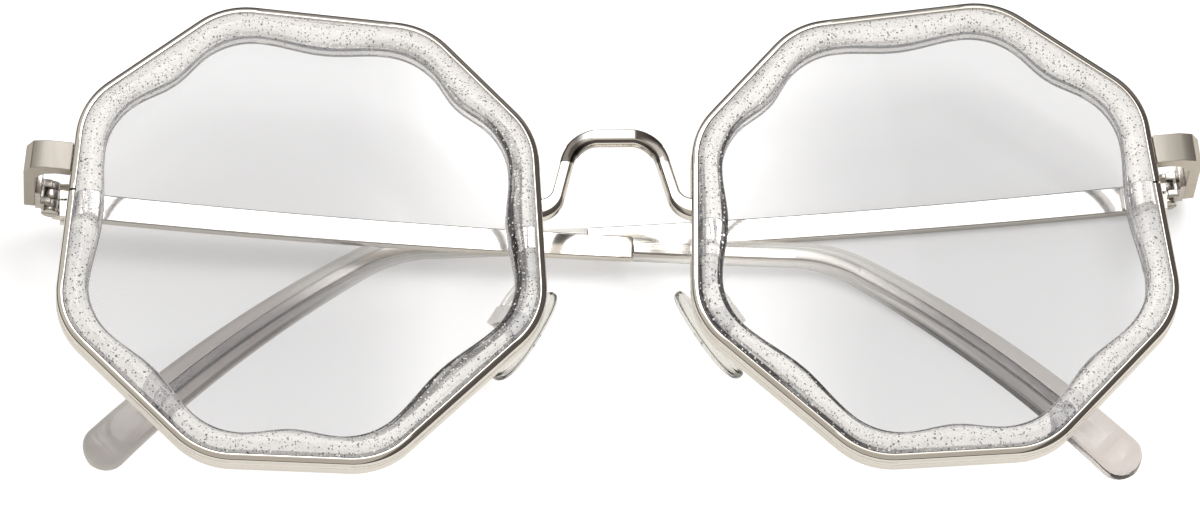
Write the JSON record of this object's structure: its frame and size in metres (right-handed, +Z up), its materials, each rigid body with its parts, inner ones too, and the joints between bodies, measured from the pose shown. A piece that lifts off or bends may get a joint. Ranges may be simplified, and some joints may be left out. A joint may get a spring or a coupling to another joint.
{
  "type": "polygonal sunglasses",
  "caption": "Eight-sided glasses lying folded: polished metal rims with clear glitter acetate inner rings, arch bridge, clear pads and sleeves.",
  "frame": {"origin": "on the table under the middle of the folded glasses, at the centre of the bounding box's bottom face", "axes": "+X from the wearer's side drawn left in the picture to the side drawn right, along the front; +Y towards the brow, in the plane of the front; +Z up from the table, out of the front of the glasses"},
  "size_m": [0.131, 0.0552, 0.0196],
  "materials": {
    "polished_metal": "polished, warm silver",
    "hinge_steel": "satin",
    "screw_steel": "turned",
    "clear_acetate": "clear with fine dark and silver specks",
    "lens": "clear, faintly grey at the top",
    "pad_plastic": "clear, soft gloss",
    "sleeve_plastic": "clear, polished"
  },
  "bodies": {
    "right_temple": {"right_temple_hinge_leaf": "hinge_steel", "right_temple_bar": "polished_metal", "right_temple_sleeve": "sleeve_plastic"},
    "front": {"bridge": "polished_metal", "left_rim_wire": "polished_metal", "right_rim_wire": "polished_metal", "left_acetate_ring": "clear_acetate", "right_acetate_ring": "clear_acetate", "left_lens": "lens", "right_lens": "lens", "left_pad_arm": "polished_metal", "right_pad_arm": "polished_metal", "left_pad_box": "polished_metal", "right_pad_box": "polished_metal", "left_pad_screw": "screw_steel", "right_pad_screw": "screw_steel", "left_upper_closing_block": "polished_metal", "right_upper_closing_block": "polished_metal", "left_lower_closing_block": "polished_metal", "right_lower_closing_block": "polished_metal", "left_closing_screw": "screw_steel", "right_closing_screw": "screw_steel", "left_end_piece": "polished_metal", "right_end_piece": "polished_metal", "left_front_hinge_leaf": "hinge_steel", "right_front_hinge_leaf": "hinge_steel", "left_hinge_screw": "screw_steel", "right_hinge_screw": "screw_steel"},
    "left_temple": {"left_temple_hinge_leaf": "hinge_steel", "left_temple_bar": "polished_metal", "left_temple_sleeve": "sleeve_plastic"},
    "left_pad": {"left_nose_pad": "pad_plastic"},
    "right_pad": {"right_nose_pad": "pad_plastic"}
  },
  "joints": [
    {"name": "right_temple_fold", "type": "hinge", "parent": "right_temple", "child": "front", "pos_m": [0.0623, 0.0094, 0.00295], "axis": [-0.0889, 0.996, 0], "range_deg": [0, 90]},
    {"name": "left_temple_fold", "type": "hinge", "parent": "front", "child": "left_temple", "pos_m": [-0.06219, 0.00941, 0.00815], "axis": [0.1234, 0.9923, -0.0088], "range_deg": [0, 92.4]},
    {"name": "left_pad_rock", "type": "hinge", "parent": "front", "child": "left_pad", "pos_m": [-0.01179, -0.00788, 0.01021], "axis": [0.4346, -0.2455, 0.8665], "range_deg": [-8, 8]},
    {"name": "right_pad_rock", "type": "hinge", "parent": "front", "child": "right_pad", "pos_m": [0.01224, -0.00788, 0.00921], "axis": [-0.3609, -0.2455, 0.8997], "range_deg": [-8, 8]}
  ]
}
